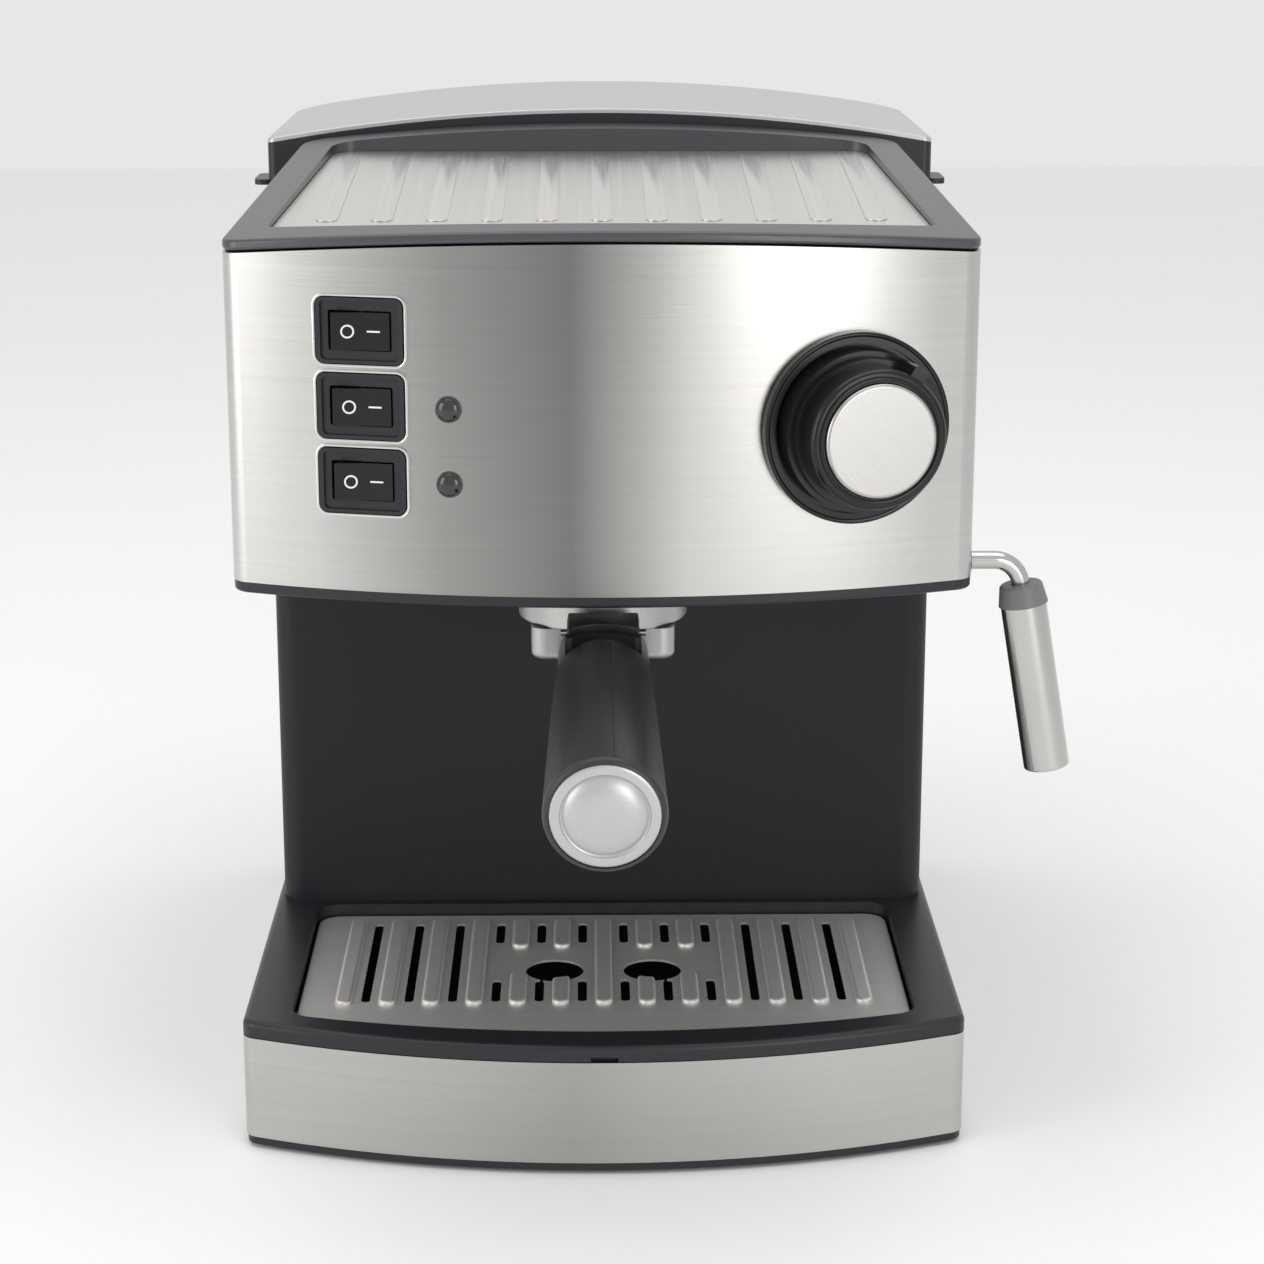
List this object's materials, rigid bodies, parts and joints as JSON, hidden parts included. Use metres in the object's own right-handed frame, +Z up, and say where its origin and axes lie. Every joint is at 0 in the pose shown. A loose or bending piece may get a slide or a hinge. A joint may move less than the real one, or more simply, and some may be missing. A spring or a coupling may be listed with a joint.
{
  "type": "espresso machine",
  "caption": "Countertop pump espresso machine: bowed brushed steel head and base, black plastic body, portafilter with twin spout, steam wand, rocker switches, lift-out tank and drip tray",
  "frame": {"origin": "on the counter surface, on the left-right symmetry plane of the body, near the middle of the footprint's depth", "axes": "+Z up, -Y towards the user, +X to the user's right"},
  "size_m": [0.2836, 0.4054, 0.3348],
  "materials": {
    "rubber": "soft rubber",
    "black_plastic": "satin moulded black",
    "dark_plastic": "fine matt moulded black",
    "gloss_black": "smooth black",
    "brushed_steel": "fine straight brushing",
    "plain_steel": "polished steel",
    "silver_paint": "satin silver paint",
    "cast_aluminium": "grainy die casting",
    "brass": "turned brass",
    "grey_plastic": "grey plastic",
    "coil": "wound coil in moulding",
    "clear_tank": "clear smoke plastic",
    "silicone": "milky silicone tube",
    "copper": "copper tube"
  },
  "bodies": {
    "root": {"base_plate": "black_plastic", "rubber_feet": "rubber", "base_housing": "black_plastic", "base_band": "brushed_steel", "base_screws": "plain_steel", "splash_panel": "dark_plastic", "rear_housing": "black_plastic", "cord_inlet": "black_plastic", "head_floor": "black_plastic", "head_shell": "black_plastic", "front_panel": "brushed_steel", "top_frame": "black_plastic", "cup_plate": "brushed_steel", "switch_bodies": "black_plastic", "lamp_lenses": "gloss_black", "knob_bezel": "gloss_black", "steam_valve": "brass", "group_ring": "cast_aluminium", "group_gasket": "rubber", "boiler_lower": "cast_aluminium", "boiler_upper": "cast_aluminium", "boiler_bolts": "plain_steel", "shower_screen": "plain_steel", "shower_screw": "plain_steel", "thermostats": "grey_plastic", "pump_bracket": "plain_steel", "pump_mounts": "rubber", "pump_body": "grey_plastic", "pump_coil": "coil", "water_hoses": "silicone", "steam_tubes": "copper", "tank_seat": "rubber", "wand_bushing": "black_plastic", "terminal_block": "grey_plastic"},
    "rocker_power": {"rocker_power": "gloss_black"},
    "rocker_brew": {"rocker_brew": "gloss_black"},
    "rocker_steam": {"rocker_steam": "gloss_black"},
    "knob": {"steam_knob": "gloss_black", "knob_cap": "brushed_steel", "valve_stem": "brass"},
    "portafilter": {"portafilter_head": "cast_aluminium", "filter_basket": "plain_steel", "twin_spout": "cast_aluminium", "handle": "gloss_black", "handle_end_cap": "silver_paint", "clip_pin": "plain_steel"},
    "clip": {"thumb_clip": "gloss_black"},
    "wand": {"wand_pipe": "plain_steel"},
    "frother": {"frother_collar": "grey_plastic", "frother_sleeve": "plain_steel"},
    "tray": {"drip_tray": "black_plastic"},
    "grate": {"drip_grate": "brushed_steel"},
    "tank": {"water_tank": "clear_tank", "valve_cage": "grey_plastic", "lid_hinge_pins": "plain_steel"},
    "lid": {"lid_shell": "black_plastic", "lid_cover": "silver_paint"},
    "tank_valve": {"tank_valve": "grey_plastic", "valve_spring": "plain_steel"}
  },
  "joints": [
    {"name": "power_switch", "type": "hinge", "parent": "root", "child": "rocker_power", "pos_m": [-0.07487, -0.14679, 0.2821], "axis": [0, 0, -1], "range_deg": [0, 20]},
    {"name": "brew_switch", "type": "hinge", "parent": "root", "child": "rocker_brew", "pos_m": [-0.07487, -0.14679, 0.2583], "axis": [0, 0, -1], "range_deg": [0, 20]},
    {"name": "steam_switch", "type": "hinge", "parent": "root", "child": "rocker_steam", "pos_m": [-0.07487, -0.14679, 0.2345], "axis": [0, 0, -1], "range_deg": [0, 20]},
    {"name": "knob_turn", "type": "hinge", "parent": "root", "child": "knob", "pos_m": [0.079, -0.14883, 0.2513], "axis": [0.2532, -0.9674, 0], "range_deg": [0, 180]},
    {"name": "portafilter_lock", "type": "hinge", "parent": "root", "child": "portafilter", "pos_m": [0, -0.09, 0.2], "axis": [0, 0, -1], "range_deg": [0, 45]},
    {"name": "clip_flip", "type": "hinge", "parent": "portafilter", "child": "clip", "pos_m": [0, -0.12531, 0.17839], "axis": [-1, 0, 0], "range_deg": [0, 45]},
    {"name": "wand_swing", "type": "hinge", "parent": "root", "child": "wand", "pos_m": [0.1, -0.117, 0.2004], "axis": [1, 0, 0], "range_deg": [-45, 60]},
    {"name": "frother_pull", "type": "slide", "parent": "wand", "child": "frother", "axis": [0.1702, 0, -0.9854], "range_m": [0, 0.07]},
    {"name": "tray_lift", "type": "slide", "parent": "root", "child": "tray", "axis": [0, 0, 1], "range_m": [0, 0.06]},
    {"name": "grate_lift", "type": "slide", "parent": "tray", "child": "grate", "axis": [0, 0, 1], "range_m": [0, 0.04]},
    {"name": "tank_lift", "type": "slide", "parent": "root", "child": "tank", "axis": [0, 0, 1], "range_m": [0, 0.16]},
    {"name": "lid_hinge", "type": "hinge", "parent": "tank", "child": "lid", "pos_m": [0, 0.1558, 0.3095], "axis": [-1, 0, 0], "range_deg": [0, 70]},
    {"name": "tank_valve_lift", "type": "slide", "parent": "tank", "child": "tank_valve", "axis": [0, 0, 1], "range_m": [0, 0.003], "stiffness_N_per_m": 150, "springref_m": -0.002, "deforming": ["valve_spring"]}
  ]
}
